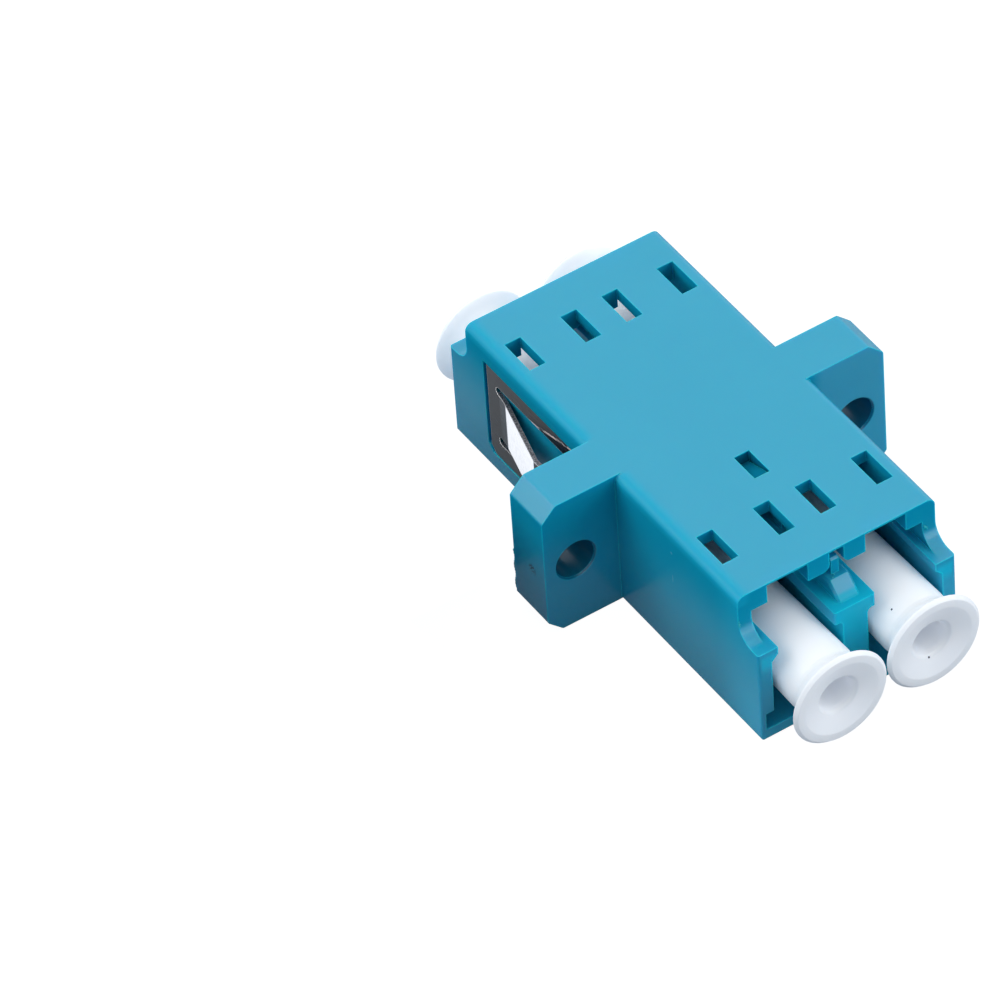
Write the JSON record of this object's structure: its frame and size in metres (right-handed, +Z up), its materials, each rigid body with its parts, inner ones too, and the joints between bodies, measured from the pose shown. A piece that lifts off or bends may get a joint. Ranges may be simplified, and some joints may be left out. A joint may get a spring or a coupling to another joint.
{
  "type": "duplex fibre adapter",
  "caption": "Flanged adapter that joins pairs of fibre plugs nose to nose: moulded housing, pushed-in sleeve holder, split sleeves, spring panel clip and pull-off dust caps.",
  "frame": {"origin": "on the flat underside, midway between the ears and in the middle of the flange's thickness, which is also the plane where the two ferrules meet", "axes": "+X across the ears, +Y along the plugs towards the plain rear end, +Z up from the underside to the roof with the latch windows"},
  "size_m": [0.022, 0.0344, 0.0092],
  "materials": {
    "housing": "satin moulded aqua plastic",
    "insert": "satin moulded aqua plastic",
    "zirconia": "ground white zirconia",
    "spring_steel": "bright stamped spring steel",
    "cap": "soft glossy white plastic"
  },
  "bodies": {
    "adapter": {"housing": "housing", "sleeve_holder": "insert", "alignment_sleeve_left": "zirconia", "alignment_sleeve_right": "zirconia", "panel_clip": "spring_steel"},
    "cap_front_left": {"dust_cap_front_left": "cap"},
    "cap_front_right": {"dust_cap_front_right": "cap"},
    "cap_rear_left": {"dust_cap_rear_left": "cap"},
    "cap_rear_right": {"dust_cap_rear_right": "cap"}
  },
  "joints": [
    {"name": "pull_front_left", "type": "slide", "parent": "adapter", "child": "cap_front_left", "axis": [0, -1, 0], "range_m": [0, 0.014]},
    {"name": "pull_front_right", "type": "slide", "parent": "adapter", "child": "cap_front_right", "axis": [0, -1, 0], "range_m": [0, 0.014]},
    {"name": "pull_rear_left", "type": "slide", "parent": "adapter", "child": "cap_rear_left", "axis": [0, 1, 0], "range_m": [0, 0.014]},
    {"name": "pull_rear_right", "type": "slide", "parent": "adapter", "child": "cap_rear_right", "axis": [0, 1, 0], "range_m": [0, 0.014]}
  ]
}
